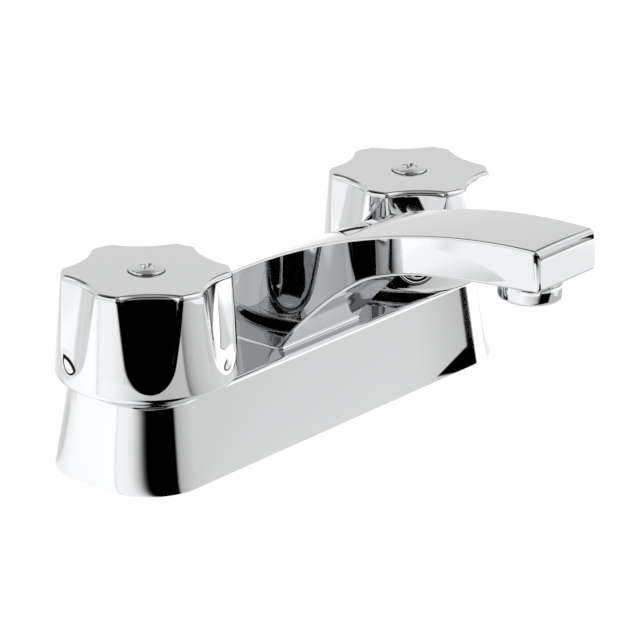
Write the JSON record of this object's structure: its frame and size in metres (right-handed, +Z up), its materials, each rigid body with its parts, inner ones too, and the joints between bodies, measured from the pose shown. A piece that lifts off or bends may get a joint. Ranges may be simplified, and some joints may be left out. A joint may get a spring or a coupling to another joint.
{
  "type": "centerset bathroom faucet",
  "caption": "Deck-mounted centerset basin faucet: tapered rectangular body, flat arched spout with aerator, fluted knob handles turning about upright axes, threaded shanks below.",
  "frame": {"origin": "on the sink-deck plane (underside of the body's rim and of the gasket inside it), midway between the two shank axes", "axes": "+X from the hot (left) shank to the cold (right) shank, -Y the way the spout points, +Z up out of the sink deck"},
  "size_m": [0.1468, 0.1121, 0.116],
  "materials": {
    "chrome": "bright polished plating",
    "brass": "turned, unplated",
    "copper": "drawn copper tube",
    "rubber": "matt moulded rubber",
    "ceramic": "lapped alumina ceramic",
    "white_plastic": "moulded acetal",
    "nut_plastic": "moulded, satin",
    "steel": "zinc plated pressing"
  },
  "bodies": {
    "faucet": {"body_casting": "chrome", "base_gasket": "rubber", "mixing_tee": "brass", "outlet_o_ring": "rubber", "aerator_housing": "chrome", "aerator_insert": "white_plastic", "aerator_washer": "rubber", "hot_valve_body": "brass", "hot_cross_tube": "copper", "hot_cover_locknut": "brass", "hot_cartridge_bonnet": "brass", "hot_fixed_disc": "ceramic", "hot_seat_seal": "rubber", "hot_mounting_washer": "steel", "hot_mounting_nut": "nut_plastic", "cold_valve_body": "brass", "cold_cross_tube": "copper", "cold_cover_locknut": "brass", "cold_cartridge_bonnet": "brass", "cold_fixed_disc": "ceramic", "cold_seat_seal": "rubber", "cold_mounting_washer": "steel", "cold_mounting_nut": "nut_plastic"},
    "hot_handle_body": {"hot_handle": "chrome", "hot_handle_screw": "chrome", "hot_stem": "brass", "hot_stem_o_ring": "rubber", "hot_moving_disc": "ceramic"},
    "cold_handle_body": {"cold_handle": "chrome", "cold_handle_screw": "chrome", "cold_stem": "brass", "cold_stem_o_ring": "rubber", "cold_moving_disc": "ceramic"}
  },
  "joints": [
    {"name": "hot_handle_turn", "type": "hinge", "parent": "faucet", "child": "hot_handle_body", "pos_m": [-0.0508, 0, 0.0505], "axis": [0, 0, 1], "range_deg": [0, 90]},
    {"name": "cold_handle_turn", "type": "hinge", "parent": "faucet", "child": "cold_handle_body", "pos_m": [0.0508, 0, 0.0505], "axis": [0, 0, 1], "range_deg": [0, 90]}
  ]
}
